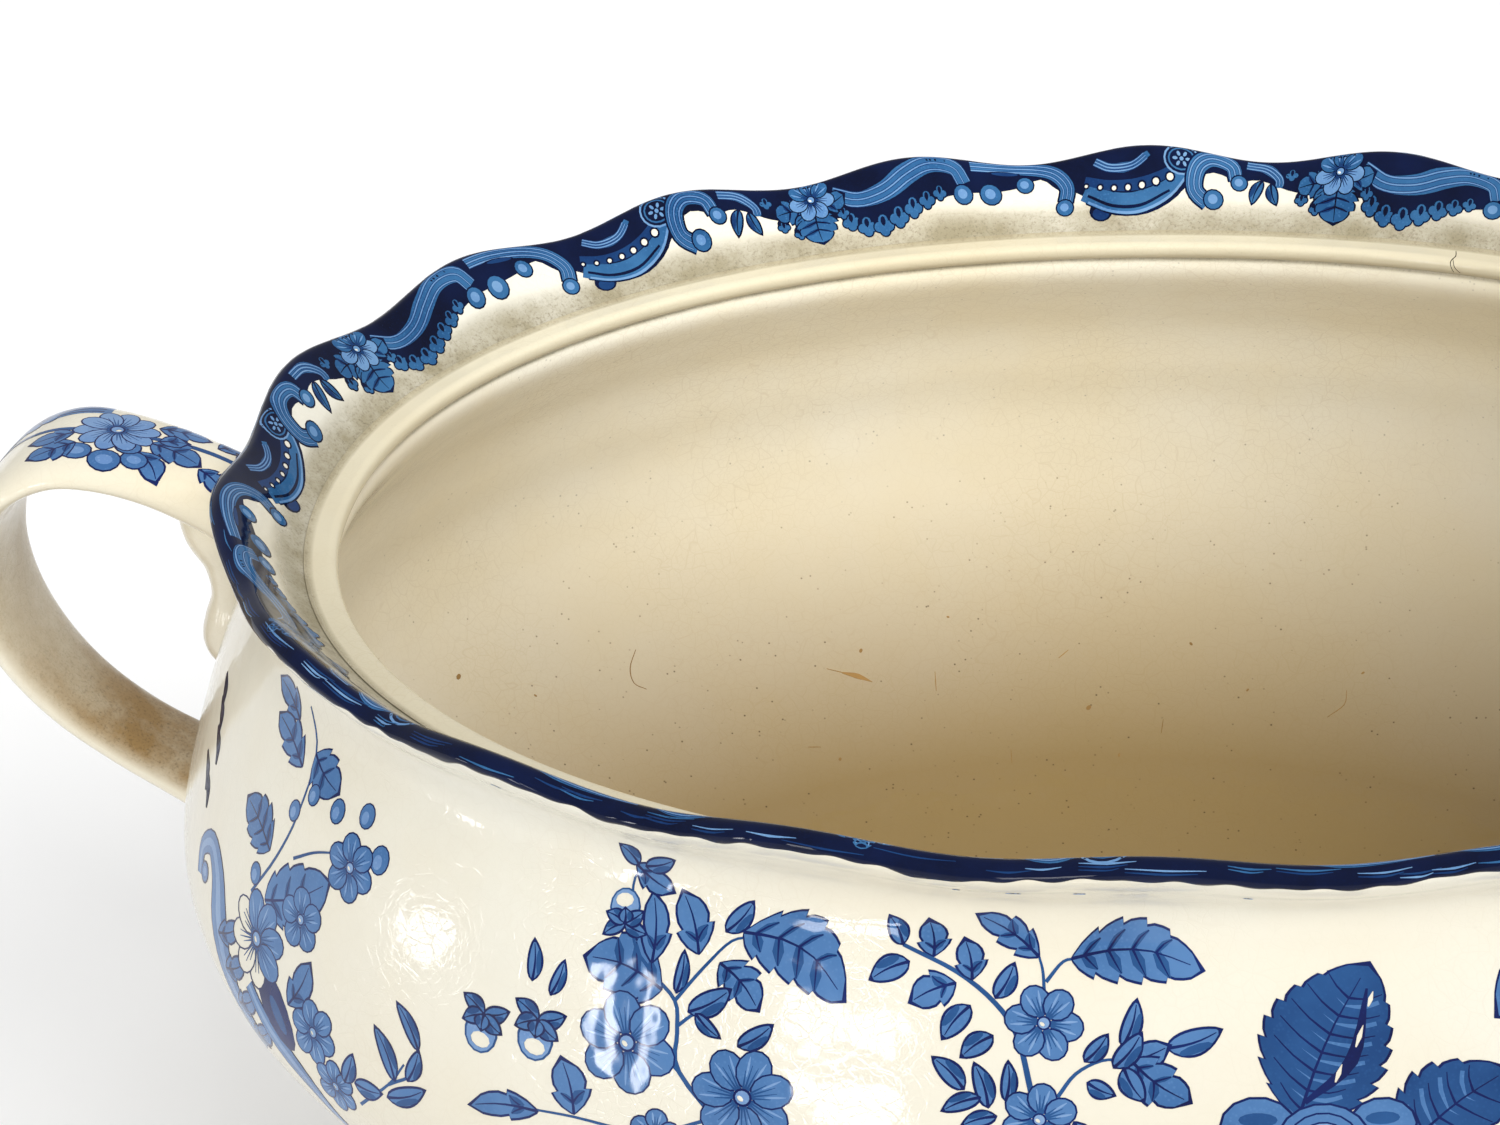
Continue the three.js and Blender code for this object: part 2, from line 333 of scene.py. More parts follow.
def add_piece(mesh, name, slot, *replaced):
    """Puts a mesh in the scene as a piece on the tureen, in place of the named CAD nodes."""
    piece = bpy.data.objects.new(name, mesh)
    bpy.context.collection.objects.link(piece)
    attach(piece, "root")
    if replaced:
        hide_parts(*replaced)


def grid_faces(rows, columns, ring):
    """Quads between rows of points; with ring, the last row joins the first."""
    a = np.arange(rows if ring else rows - 1)[:, None] * columns
    b = (np.arange(rows if ring else rows - 1)[:, None] + 1) % rows * columns
    i = np.arange(columns)
    j = (i + 1) % columns
    return np.stack([a + i, a + j, b + j, b + i], -1).reshape(-1, 4)


def new_mesh(name, points, faces, materials, slots):
    """A smooth mesh from points in millimetres, with the number of a material for each face."""
    mesh = bpy.data.meshes.new(name)
    mesh.from_pydata((points * MM).tolist(), [], faces)
    for material in materials:
        mesh.materials.append(material)
    mesh.polygons.foreach_set("material_index", slots)
    mesh.polygons.foreach_set("use_smooth", [True] * len(faces))
    mesh.update()
    return mesh


def rings_mesh(name, rings, ring, materials, grime_and_shade, slots=None):
    """A closed mesh through rings of points, capped with fans or closed on itself."""
    rows, columns = rings.shape[:2]
    points = rings.reshape(-1, 3)
    faces = grid_faces(rows, columns, ring).tolist()
    dirt_and_shade = np.repeat(grime_and_shade, columns) if np.ndim(grime_and_shade) == 1 else np.ravel(grime_and_shade)
    if not ring:
        low, high = len(points), len(points) + 1
        points = np.vstack([points, rings[0].mean(0), rings[-1].mean(0)])
        last = (rows - 1) * columns
        for i in range(columns):
            j = (i + 1) % columns
            faces.append((low, j, i))
            faces.append((high, last + i, last + j))
        dirt_and_shade = np.concatenate([dirt_and_shade, [dirt_and_shade[0], dirt_and_shade[-1]]])
    index = np.zeros(len(faces), int)
    if slots is not None:
        index[:(rows - 1) * columns] = np.repeat(slots[:rows - 1], columns)
        index[(rows - 1) * columns:] = 1
    mesh = new_mesh(name, points, faces, materials, index)
    layer = mesh.attributes.new("grime_and_shade", "FLOAT", "POINT")
    layer.data.foreach_set("value", np.asarray(dirt_and_shade, np.float32))
    return mesh


def profile_rings(rows, columns=AROUND):
    walk = np.arange(columns) / columns * LAP
    return np.stack([oval_point(walk, *row) for row in rows])


def bump_at(value, centre, width):
    """1 at the centre, falling smoothly to 0 a width away."""
    return np.clip(1 - ((value - centre) / width) ** 2, 0, 1)


def make_bowl():
    rows = smooth(OUTSIDE[::-1] + INSIDE, BOWL_PER_KNOT)
    inner = np.arange(len(rows)) > BOWL_PER_KNOT * len(OUTSIDE)
    rings = profile_rings(rows)
    # Inside, the channel below the rim slope gets dirt and painted shade, and the thin seam under the ledge
    # is a painted shadow of its overhang together with dirt in the joint. Outside, the body is darker round
    # each handle's joint.
    channel = bump_at(rows[:, 0], 10.2, 4.2) * (rows[:, 1] > 5)
    seam = 0.7 * bump_at(rows[:, 0], 14.6, 0.8)
    joint_at, joint_reach = (146, 0, 108), (20, 26, 30)
    away = np.linalg.norm((abs(rings) - joint_at) / joint_reach, axis=-1)
    joints = 0.35 * np.clip(1 - away, 0, 1) * ~inner[:, None]
    grime_and_shade = np.clip((inner * (channel + seam))[:, None] + joints, 0, 1)
    mesh = rings_mesh("bowl_surface", rings, False, (CREAM_PAINTED_DARKER, INNER_PAINTED_LIGHTER), grime_and_shade,
                      np.where(inner & (rows[:, 0] > 10.9), 1, 0))
    add_piece(mesh, "glazed_bowl", "printed_cream_glaze", "bowl")


def make_ledge():
    rows = smooth(LEDGE, 6, closed=True)[::-1]
    # The ledge's outer top, beside the channel, is darker: dirt and painted shade.
    grime_and_shade = 0.8 * bump_at(rows[:, 1], 11.6, 1.4) * (rows[:, 0] < 12)
    mesh = rings_mesh("ledge_surface", profile_rings(rows), True, (LEDGE_GLAZE,), grime_and_shade)
    add_piece(mesh, "glazed_ledge", "plain_cream_glaze", "lid_ledge")


def make_foot():
    rows = smooth(FOOT, 8)[::-1]
    grime_and_shade = 0.8 * bump_at(rows[:, 0], 149, 2.5)
    mesh = rings_mesh("foot_surface", profile_rings(rows, 480), False, (CREAM_PAINTED_DARKER,), grime_and_shade)
    add_piece(mesh, "glazed_foot", "printed_cream_glaze", "pedestal_foot")


class Path:
    """A centre line in the plane of the long axis; side is 1 for the right handle, -1 for the left."""

    def __init__(self, knots, side):
        self.side = side
        self.rows = smooth(knots, 10)
        self.walk = lengths(self.rows[:, :2])

    def column(self, walk, number):
        return np.interp(walk, self.walk, self.rows[:, number])

    def point(self, walk, across, out):
        """Points at a distance along, across the long axis and out along the normal."""
        along = np.stack([self.column(walk + 0.5, k) - self.column(walk - 0.5, k) for k in (0, 1)], -1)
        along /= np.linalg.norm(along, axis=-1, keepdims=True)
        x = self.column(walk, 0) + along[..., 1] * out
        z = RIM_Z - self.column(walk, 1) + along[..., 0] * out
        return np.stack([x * self.side, -self.side * across, z], -1)

    def ring(self, walk, across, out):
        """A cross-section at a distance along, with this place's width and thickness."""
        wide, thick = self.column(walk, 2), self.column(walk, 3)
        return self.point(np.full(len(across), walk), across * wide, out * thick)

    def face(self, walk, across):
        """A point of the strap's outer face, for a print."""
        share = np.clip(abs(across) / (STRAP_HALF_WIDTH * self.column(walk, 2)), 0, 1) ** (1 / 0.7)
        thick = self.column(walk, 3) * STRAP_HALF_THICK * 1.05
        return self.point(walk, across, thick * np.sqrt(1 - share**2))


def make_handle(name, side):
    path = Path(STRAP, side)
    walk = np.linspace(0, path.walk[-1], 180)
    angle = np.arange(48) / 48 * 2 * math.pi
    across = np.sign(np.cos(angle)) * abs(np.cos(angle)) ** 0.7 * STRAP_HALF_WIDTH
    out = np.sin(angle) * STRAP_HALF_THICK * np.where(np.sin(angle) > 0, 1.05, 0.9)
    rings = np.stack([path.ring(w, across, out) for w in walk])
    if loop_turns_inward(rings):
        rings = rings[:, ::-1]
        out = out[::-1]
    under = np.clip(-1.6 * out / STRAP_HALF_THICK, 0, 1)
    worn = 0.5 * np.clip((walk - 44) / 20, 0, 1) + 0.5 * np.clip((walk - 80) / 24, 0, 1)
    mesh = rings_mesh(name + "_surface", rings, False, (HANDLE,), np.outer(worn, under))
    add_piece(mesh, "glazed_" + name, "printed_cream_glaze", name)


def loop_turns_inward(rings):
    """True if quads made between these rings face the middle of the ring."""
    first, second = rings[len(rings) // 2], rings[len(rings) // 2 + 1]
    normal = np.cross(first[1] - first[0], second[0] - first[0])
    return float(np.dot(normal, first[0] - first.mean(0))) < 0


def make_lug(name, side):
    path = Path(LUG, side)
    walk = np.linspace(0, path.walk[-1], 60)
    angle = np.arange(32) / 32 * 2 * math.pi
    rings = np.stack([path.ring(w, np.cos(angle) * LUG_RADIUS, np.sin(angle) * LUG_RADIUS) for w in walk])
    if loop_turns_inward(rings):
        rings = rings[:, ::-1]
    mesh = rings_mesh(name + "_surface", rings, False, (HANDLE,), np.linspace(0, 0.25, 60))
    add_piece(mesh, "glazed_" + name, "plain_cream_glaze", name)


# ---- print on glaze

def inside(points, outline):
    """Which points lie inside a closed outline, by counting crossings."""
    x, y = points[:, 0][:, None], points[:, 1][:, None]
    a, b = outline, np.roll(outline, -1, axis=0)
    spans = (a[:, 1] > y) != (b[:, 1] > y)
    with np.errstate(divide="ignore", invalid="ignore"):
        cross = a[:, 0] + (y - a[:, 1]) * (b[:, 0] - a[:, 0]) / (b[:, 1] - a[:, 1])
    return (spans & (x < cross)).sum(1) % 2 == 1


def fill_points(outlines, step):
    """Points of a grid that lie in any of the outlines, so that a print follows a curved surface."""
    low = np.min([o.min(0) for o in outlines], axis=0)
    high = np.max([o.max(0) for o in outlines], axis=0)
    xs, ys = (np.arange(low[k] + 0.37 * step, high[k], step) for k in range(2))
    grid = np.stack(np.meshgrid(xs, ys), -1).reshape(-1, 2)
    kept = np.zeros(len(grid), bool)
    for outline in outlines:
        near = ~kept & (grid >= outline.min(0)).all(1) & (grid <= outline.max(0)).all(1)
        kept[near] = inside(grid[near], outline)
    return grid[kept]


def counted(outline, step):
    """The outline turned counter-clockwise, with points added to its long sides."""
    points = np.asarray(outline, float)
    ahead = np.roll(points, -1, axis=0)
    if np.sum(points[:, 0] * ahead[:, 1] - points[:, 1] * ahead[:, 0]) < 0:
        points = points[::-1]
        ahead = np.roll(points, -1, axis=0)
    parts = []
    for a, b in zip(points, ahead):
        t = np.arange(max(1, math.ceil(np.linalg.norm(b - a) / step)))
        parts.append(a + (b - a) * (t / len(t))[:, None])
    return np.vstack(parts)


def printed(name, shapes, surface, step=2.4, inks=INKS, slot="printed_cream_glaze"):
    """A print: shapes are (ink, outline) from the bottom up, on a surface of two coordinates."""
    outlines = [counted(outline, step) for _, outline in shapes]
    corners, loops = [], []
    for outline in outlines:
        loops.append(list(range(len(corners), len(corners) + len(outline))))
        corners.extend(outline)
    corners.extend(fill_points(outlines, step))
    flat, _, triangles, _, _, owners = delaunay_2d_cdt([Vector(c) for c in corners], [], loops, 1, 1e-4)
    kept = [(t, shapes[max(o)][0]) for t, o in zip(triangles, owners) if o]
    kept = [(t, colour) for t, colour in kept if colour != NONE]
    used = sorted({i for t, _ in kept for i in t})
    number = {old: new for new, old in enumerate(used)}
    spots = np.array([flat[i] for i in used])
    top = surface(spots[:, 0], spots[:, 1])
    side = surface(spots[:, 0] + NUDGE, spots[:, 1]) - surface(spots[:, 0] - NUDGE, spots[:, 1])
    down = surface(spots[:, 0], spots[:, 1] + NUDGE) - surface(spots[:, 0], spots[:, 1] - NUDGE)
    normal = np.cross(down, side)
    normal /= np.linalg.norm(normal, axis=1, keepdims=True)
    tris = np.array([[number[i] for i in t] for t, _ in kept])
    a, b, c = (top[tris[:, k]] for k in range(3))
    if np.sum(np.cross(b - a, c - a) * normal[tris[:, 0]]) < 0:
        tris = tris[:, ::-1]
    mesh = shell(name, top, normal, tris, [colour for _, colour in kept], inks)
    add_piece(mesh, name, slot)


def shell(name, top, normal, tris, colours, inks):
    """A thin closed shell over triangles of a surface, with the surface's own normals."""
    count = len(top)
    edges = {}
    for tri, colour in zip(tris.tolist(), colours):
        for i, j in zip(tri, tri[1:] + tri[:1]):
            edges[(i, j)] = colour
    rim = [(i, j, colour) for (i, j), colour in edges.items() if (j, i) not in edges]
    faces = tris.tolist() + (tris[:, ::-1] + count).tolist()
    faces += [(j, i, i + count, j + count) for i, j, _ in rim]
    palette = sorted(set(colours))
    slots = [palette.index(c) for c in [*colours, *colours, *(c for _, _, c in rim)]]
    points = np.vstack([top + normal * PRINT_LIFT, top - normal * PRINT_SINK])
    mesh = new_mesh(name, points, faces, [inks[colour] for colour in palette], slots)
    mesh.normals_split_custom_set_from_vertices(np.vstack([normal, normal]).tolist())
    return mesh


# ---- motifs
# A motif is a list of (ink, outline) on a flat sheet: x to the right, y down, in millimetres.

def blob(ink_number, x, y, width, height=None, turn=0.0, count=14):
    """An ellipse of ink."""
    angle = np.arange(count) / count * 2 * math.pi
    a, b = width / 2, (height or width) / 2
    c, s = math.cos(turn), math.sin(turn)
    ex, ey = a * np.cos(angle), b * np.sin(angle)
    return (ink_number, np.stack([x + ex * c - ey * s, y + ex * s + ey * c], -1))


def line(ink_number, points, start, end=None, middle=None, per=4):
    """A stroke of the pen through points, with its width at the start, the middle and the end."""
    track = smooth(points, per)
    end = start if end is None else end
    middle = (start + end) / 2 if middle is None else middle
    part = lengths(track) / lengths(track)[-1]
    width = np.interp(part, [0, 0.5, 1], [start, middle, end])[:, None] / 2
    along = np.gradient(track, axis=0)
    along /= np.linalg.norm(along, axis=1, keepdims=True)
    side = np.stack([-along[:, 1], along[:, 0]], -1) * width
    return (ink_number, np.vstack([track + side, (track - side)[::-1]]))


def leaf_edge(base, tip, width, teeth, bend, grow):
    """A leaf's outline from base to tip, its teeth rounded behind and pointed towards the tip."""
    axis = tip - base
    length = np.linalg.norm(axis)
    axis = axis / length
    side = np.array([-axis[1], axis[0]])
    if teeth:
        t = np.array([(i + share) / (teeth + 0.5) for i in range(teeth) for share in (0.04, 0.34, 0.7, 1)])
        tooth = 1 + min(0.25, 1.1 / width, 0.07 * (teeth + 1)) * np.tile([-0.8, 0.1, 0.6, 0.95], teeth)
    else:
        t = np.linspace(0.08, 0.92, 9)
        tooth = np.ones(9)
    half = width / 2 * np.sin(math.pi * t**0.85) ** 0.7 * tooth + grow
    middle = base + np.outer(t * length, axis) + np.outer(bend * length * np.sin(math.pi * t), side)
    reach = np.outer(half, side)
    return np.vstack([[base - axis * grow], middle + reach, [tip + axis * 2 * grow], (middle - reach)[::-1]])


def leaf(base, tip, width, teeth=0, bend=0.06, shade=1, body=MID):
    """A leaf: navy outline, a rib with veins to the teeth, and dark shading most on one half."""
    base, tip = np.array(base, float), np.array(tip, float)
    length = np.linalg.norm(tip - base)
    axis = (tip - base) / length
    side = np.array([-axis[1], axis[0]])
    lean = math.atan2(axis[1], axis[0])

    def on_rib(t):
        return base + axis * length * t + side * bend * length * math.sin(math.pi * t)

    shapes = [(NAVY, leaf_edge(base, tip, width, teeth, bend, 0.14)),
              (body, leaf_edge(base, tip, width, teeth, bend, -0.2))]
    pitch = length / (teeth + 0.5)
    for k in range(max(1, teeth - 1) if teeth else 0):
        t = (k + 0.8) / (teeth + 0.5)
        half = width / 2 * math.sin(math.pi * t**0.85) ** 0.7
        for sign in (1, -1):
            dark = sign == shade
            root, bow, end = (on_rib(t + ahead) + side * sign * half * out for ahead, out in
                              ((-0.3 / (teeth + 0.5), 0), (0, 0.42), (0.06, 0.84 if dark else 0.7)))
            wide = min(1.7, pitch * (0.56 if dark else 0.3))
            if body == MID:
                shapes.append(line(DEEP, [root, bow, end], wide * 0.6, 0.24, wide, per=2))
            else:
                shift = axis * pitch * 0.42
                light = [root - shift, bow - shift, end - shift]
                shapes.append(line(MID, light, 0.2, 0.5, 1.3 - wide, per=2))
            shapes.append(line(NAVY, [root, bow, end], 0.34, 0.12, 0.22, per=2))
    if not teeth:
        x, y = on_rib(0.46) + side * shade * width * 0.24
        shapes.append(blob(DEEP, x, y, length * 0.62, width * 0.34, lean, 10))
    shapes.append(line(NAVY, [on_rib(t) for t in (0, 0.3, 0.6, 0.9)], 0.44, 0.12, per=2))
    return shapes


def leaves(*rows):
    """Leaves from rows of base x, base y, tip x, tip y and width, then teeth and bend where given."""
    return [shape for x, y, tip_x, tip_y, *rest in rows for shape in leaf((x, y), (tip_x, tip_y), *rest)]


def flower(x, y, radius, petals=6, turn=0.3, white=0, light=NONE):
    """A flower seen from above. The first few petals may be white or pale, with lines drawn in them."""
    shapes = []
    wide = radius * (3.3 / petals + 0.26)
    for k in range(petals):
        angle = turn + 2 * math.pi * k / petals

        def out(share, spread=0.0):
            reach = radius * share
            return x + math.cos(angle + spread) * reach, y + math.sin(angle + spread) * reach

        shapes.append(blob(NAVY, *out(0.6), radius * 0.88, wide, angle))
        shapes.append(blob(light if k < white else MID, *out(0.6), radius * 0.88 - 0.46, wide - 0.46, angle))
        for spread in (-0.2, 0.2) if k >= white else ():
            shapes.append(line(PALE, [out(0.44, spread), out(0.86, spread)], 0.1, 0.1, 0.36, per=3))
        for spread in (-0.3, -0.1, 0.1, 0.3):
            share = 0.7 if abs(spread) < 0.2 else 0.56
            shapes.append(line(DEEP, [out(0.18, spread), out(share, spread * 0.9)], 0.3, 0.08, per=1))
    shapes.append(blob(NAVY, x, y, radius * 0.38))
    shapes.append(blob(PALE, x, y, radius * 0.28))
    shapes.append(blob(NONE, x - radius * 0.04, y + radius * 0.03, radius * 0.15, radius * 0.1, 0.6, 8))
    return shapes


def berry(x, y, size):
    return [blob(NAVY, x, y, size, size * 1.2), blob(MID, x, y, size - 0.4, size * 1.2 - 0.4),
            blob(PALE, x - size * 0.08, y + size * 0.12, size * 0.45, size * 0.6)]


def bell(x, y, size, turn=0.0):
    """A round fruit, light below, under a crown of small blunt leaves."""
    c, s = math.cos(turn), math.sin(turn)

    def at(across, down):
        return x + across * c - down * s, y + across * s + down * c

    shapes = [blob(DEEP, *at(0, size * 0.14), size * 0.96, size * 1.1, turn),
              blob(PALE, *at(0, size * 0.16), size * 0.84, size * 0.96, turn),
              blob(NONE, *at(0.1, size * 0.34), size * 0.56, size * 0.4, turn, 10)]
    for across, down in ((-0.66, -0.62), (0.66, -0.62), (-0.56, 0), (0.56, 0), (0, 0.1)):
        shapes += leaf(at(0, -size * 0.3), at(across * size, down * size), size * 0.44)
    return shapes


def stem(*points, width=0.5):
    return [line(DEEP, points, width, width * 0.6)]


def scroll(points, start, middle, end):
    """A scroll of ribbon: navy outline, blue ribbon, pale line along it."""
    return [line(NAVY, points, start + 0.5, end + 0.5, middle + 0.5),
            line(MID, points, start, end, middle),
            line(PALE, points, start * 0.34, end * 0.34, middle * 0.34)]


def volute(x, y, size):
    return [blob(NAVY, x, y, size), blob(MID, x, y, size - 0.55), blob(PALE, x - 0.1, y - 0.1, size * 0.45)]


def place(shapes, x, y, flip=False):
    """Moves a motif, and mirrors it left to right if asked."""
    return [(colour, np.asarray(outline) * (-1 if flip else 1, 1) + (x, y)) for colour, outline in shapes]


# ---- sprays on the bowl's body
# Each spray hangs from the rim: x is round the bowl from the spray's middle, y down from the rim.

def bells_spray():
    shapes = (stem((11, 44), (3, 37), (2, 32), (1, 28), (-3, 25), (-6, 21), width=0.7)
              + stem((1, 28), (4, 23), (7, 19), (10, 18)) + stem((2, 31), (4, 29), (7, 28))
              + stem((8, 42), (0, 46), (-10, 47), (-16, 48)) + stem((3, 37), (-2, 33), (-6, 27)))
    shapes += leaves((8.4, 17.6, 22.6, 24, 8.6, 5, -0.17), (6, 22, 12, 27, 4.6, 3, -0.08),
                     (3, 21.5, -1, 14, 4.4, 2), (6, 18, 9, 13.6, 2.8), (1, 27, 1, 21.5, 1.8),
                     (3, 29, 8, 25, 3.2), (4, 29, 7.6, 31.4, 1.8), (-1, 27, -12.4, 25.6, 8, 4, 0.1),
                     (-3, 24, -5, 15, 3.6, 2))
    shapes += (stem((-3, 25), (-6, 22), (-8, 15), (-7, 12)) + bell(-8.2, 18.6, 4.6, 2.9)
               + leaves((-8, 12, -2, 14.6, 3.2, 2), (-7.6, 12, -10.4, 9.6, 2.6), (-6.6, 12, -2.4, 10, 2.4))
               + flower(-4.4, 35, 6.6, 6, 0.2) + leaf((10, 32), (14, 28.4), 2.6)
               + flower(11.4, 38.4, 6.4, 7, 0.5) + bell(-25, 39.6, 5.4) + bell(-17, 37.6, 5.6))
    shapes += leaves((-19, 31, -20, 25.6, 2.2), (-16, 32, -15, 27, 1.9), (-10, 46.6, -13, 39.6, 4.8, 2),
                     (-15, 48, -25, 51, 3.4, 2))
    shapes += flower(1, 46, 3.4, 5, 0.9)
    return shapes


def twin_spray():
    shapes = (stem((1, 40), (-1, 33), (-3, 26), (-6, 22), (-11, 18.6), (-18, 16), width=0.8)
              + stem((0, 19), (2, 16.4), (4, 16)) + stem((0, 22), (-0.4, 18), (-1, 16))
              + stem((2, 33), (4, 30), (7, 28.2), (10, 28)))
    shapes += leaves((3, 16, 19, 17, 7.4, 5, -0.12), (-1, 16, -9, 11, 3.6, 3), (-18, 16, -20, 12.6, 2.6),
                     (-14, 17, -15, 12.4, 3.6, 2), (-9, 19.4, -10.4, 14.4, 3.4, 2), (-6, 21.4, -4, 17, 2.5),
                     (-17, 18, -21.6, 20.8, 3.2), (-11, 20, -16.4, 23, 4, 2), (-9, 22.6, -12, 27, 3),
                     (-6, 26, -9.6, 29, 2.8), (-9, 33, -13, 29.4, 2.6), (-6, 35, -8, 29.6, 2.4),
                     (-4, 34, -4, 29, 1.9), (-7, 33.8, -11.4, 36, 2.2), (-5, 36, -9, 37.6, 2),
                     (5, 28.4, 7.6, 25, 2.2), (5.4, 31, 8.6, 32.4, 2.2), (9.4, 26.4, 11, 20.6, 2.3),
                     (14.6, 26.4, 21, 24, 3.2), (8.6, 28.4, 15, 26, 3.4, 2), (10.4, 28, 17.4, 33, 5, 3),
                     (9.6, 29, 12, 33, 2.8), (8.4, 29, 11.6, 24.6, 2.6))
    shapes += (flower(0, 24, 4.7, 6, 0.1) + flower(0, 36, 4.5, 6, 0.6) + leaf((4, 36), (8, 41), 2.8, 2)
               + stem((0, 40), (-1, 48), (-4, 56))
               + leaves((-1, 46, 5, 51, 3.4, 2), (-2, 49, -9, 52, 3.4, 2)))
    return shapes


def rose_spray():
    shapes = (stem((-2, 40), (-2, 50), (2, 58), width=0.8)
              + leaves((-2, 46, -12, 49, 6, 3), (-1, 50, 9, 52, 6, 3))
              + leaf((-3.4, 35), (6, 16.4), 14.6, 8, -0.05, shade=-1, body=DEEP))
    shapes += [line(NAVY, [(-2.6, 33), (3, 28), (5.4, 19.4)], 0.6, 0.3, 1.7)]
    for x, y, long in ((1, 30.6, 2.2), (3.6, 26.4, 2.6), (5.4, 21.6, 1.8)):
        shapes.append(line(NONE, [(x, y), (x + long * 0.4, y - long)], 0.2, 0.1, 0.6))
    shapes += leaf((8, 40), (21.4, 30.4), 11.4, 6, -0.06, body=DEEP)
    for x, y, size in ((-8, 36, 9), (6.2, 36, 8), (-5, 43, 8), (4, 43.4, 8)):
        shapes += [blob(NAVY, x, y, size, size * 0.86), blob(MID, x, y, size - 0.6, size * 0.86 - 0.6),
                   blob(DEEP, x, y - size * 0.1, size * 0.5, size * 0.2)]
    rose = (11, NAVY), (10.4, MID), (8.4, NAVY), (7.9, MID), (5.8, NAVY), (5.3, PALE), (2.8, DEEP)
    for size, colour in rose:
        shapes.append(blob(colour, -0.6, 38, size, size * 0.9, count=18))
    shapes += berry(-16, 40, 3.4) + berry(-14, 45, 2.8)
    return shapes


def scroll_spray():
    curl = [(-26, 52), (-27, 48), (-23.4, 45), (-19, 47.4), (-15.6, 53), (-10, 60), (-2, 66)]
    shapes = scroll(curl, 2, 5.4, 4.4) + volute(-24, 50.4, 3.4)
    for x, y in ((-12, 52.6), (-8.6, 56.4), (-5, 60), (-1.4, 63.4)):
        shapes += leaf((x - 3, y + 2), (x + 3, y - 3), 3.4, 2)
    shapes += scroll([(-4, 56), (2, 60), (10, 64), (16, 70)], 2, 4, 1.4)
    shapes += [blob(NAVY, 3, 55.4, 13, 6, 0.7), blob(DEEP, 4, 56, 6, 2, 0.7)]
    shapes += (stem((-8, 43), (-4, 35), (-2, 27), (-3, 18), (-8, 13), width=0.5)
               + leaves((-10, 16, -20, 14, 3.6, 2), (-5, 21, -16, 18, 4.6, 3), (-3, 18, 5, 20.4, 6.4, 3))
               + berry(0, 23, 2.8) + berry(-3, 27, 2.8) + berry(-8, 40, 3)
               + leaf((-6, 35), (-16, 32), 7.4, 4) + stem((0, 33), (4, 30), (8, 28))
               + leaf((-4, 42), (9, 32), 9, 4, 0.05) + berry(6, 22.6, 3.2) + berry(12, 20.6, 3.2)
               + berry(17, 25, 3.6) + flower(12, 28.4, 4.8, 6, 0.2) + flower(5, 40, 4.6, 5, 0.7)
               + flower(-4, 48.4, 7, 8, 1.2, white=4) + leaf((6, 53), (9, 44.6), 4.4, 2)
               + flower(12, 54, 4.6, 6, 0.1) + flower(17, 60, 4, 6, 0.4)
               + stem((22, 60), (27, 54), (29, 50)) + stem((27, 54), (31, 50), (30, 44)))
    shapes += leaves((19, 58, 20, 53, 2.6), (21, 57, 26, 56, 2.8), (28, 53, 23, 47, 2.6),
                     (31, 47, 26, 42, 2.2), (30, 52, 31, 47, 2.4), (27, 56, 33, 52, 2.8))
    return shapes


def joint_strokes():
    """Short strokes beside the lower joint of a handle."""
    shapes = []
    for x, y in ((-4, 33), (-1, 29.6), (1.6, 27), (-5, 40), (-2.4, 38.6)):
        shapes += [line(NAVY, [(x, y + 3), (x + 1.4, y + 0.6), (x + 4.6, y - 1)], 0.6, 0.6, 2.2)]
    return shapes


def low_sprig():
    """A small flower and leaves for the underside of the belly."""
    shapes = stem((-9, 6), (-3, 2), (4, 3), (10, -1))
    shapes += leaves((-4, 3, -10, -2, 4, 2), (-6, 4, -12, 8, 3.4, 2), (5, 3, 9, 8, 3.6, 2),
                     (8, 0, 14, -3, 3, 2))
    shapes += flower(0, 1, 4.2, 6, 0.3)
    return shapes


SPRAYS = [
    (465, scroll_spray, False), (530, bells_spray, False), (577, twin_spray, False),
    (610, rose_spray, False), (653, bells_spray, True), (716, scroll_spray, True),
]


def print_body():
    """Six sprays to each half of the body, the second half the first one turned round."""
    for half in (0, 1):
        for number, (middle, spray, flip) in enumerate(SPRAYS):
            shapes = place(spray(), middle + half * LAP / 2, 0, flip)
            printed(f"body_print_{'front' if half == 0 else 'back'}_{number + 1}", shapes, BOWL.point)
    for half, flip in ((0, False), (0, True), (1, False), (1, True)):
        shapes = place(joint_strokes(), (half + 0.5) * LAP + (-37 if flip else 37), 0, not flip)
        printed(f"joint_print_{2 * half + flip + 1}", shapes, BOWL.point)
    for k in range(10):
        shapes = place(low_sprig(), (k + 0.5) / 10 * LAP, 88, k % 2 == 1)
        printed(f"underside_print_{k + 1}", shapes, BOWL.point)


# ---- border of the rim

def tuft(x, y, size):
    """A lobed tuft of the shell fringe, with a dark root."""
    shapes = [blob(NAVY, x, y, size, size * 1.2)]
    for across, down in ((-0.26, 0.2), (0.26, 0.2), (0, 0.42)):
        shapes.append(blob(NAVY, x + across * size, y + down * size, size * 0.62))
    for across, down in ((-0.26, 0.2), (0.26, 0.2), (0, 0.42), (0, -0.1)):
        shapes.append(blob(MID, x + across * size, y + down * size, size * 0.62 - 0.5, count=10))
    return shapes + [blob(NAVY, x, y - size * 0.06, size * 0.26, size * 0.44, count=8)]


